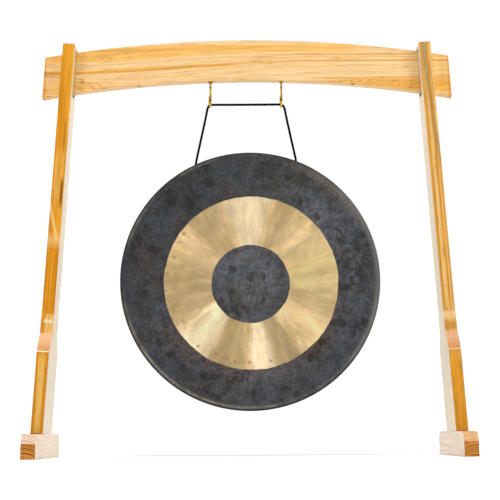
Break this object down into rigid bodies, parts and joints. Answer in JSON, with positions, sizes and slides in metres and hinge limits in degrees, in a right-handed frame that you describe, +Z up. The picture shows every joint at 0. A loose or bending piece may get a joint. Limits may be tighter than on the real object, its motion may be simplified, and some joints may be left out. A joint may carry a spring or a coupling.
{
  "type": "gong stand",
  "caption": "Wooden gong stand with leaning board legs on runner feet, an arched through beam and screw hooks, holding a flat gong on a cord.",
  "frame": {"origin": "on the floor, under the middle of the stand's outer box", "axes": "+Z up, +X to the stand's right as seen from the front, +Y to the rear; the gong's face looks along -Y"},
  "size_m": [0.9936, 0.356, 0.9893],
  "materials": {
    "pine": "clear satin lacquer over pine",
    "hook_brass": "bright brass plate",
    "screw_steel": "zinc plated",
    "gong_bronze": "dark fired scale with a scraped bright ring",
    "black_cord": "braided matt cord"
  },
  "bodies": {
    "stand": {"left_leg": "pine", "right_leg": "pine", "beam": "pine", "left_foot": "pine", "right_foot": "pine", "left_hook": "hook_brass", "right_hook": "hook_brass", "left_front_foot_screw": "screw_steel", "left_rear_foot_screw": "screw_steel", "right_front_foot_screw": "screw_steel", "right_rear_foot_screw": "screw_steel", "left_beam_screw": "screw_steel", "right_beam_screw": "screw_steel"},
    "gong": {"gong": "gong_bronze", "left_knot": "black_cord", "right_knot": "black_cord", "hanging_cord": "black_cord"}
  },
  "joints": [
    {"name": "gong_swing", "type": "hinge", "parent": "stand", "child": "gong", "pos_m": [0, 0.012, 0.8363], "axis": [1, 0, 0], "range_deg": [-30, 30]}
  ]
}
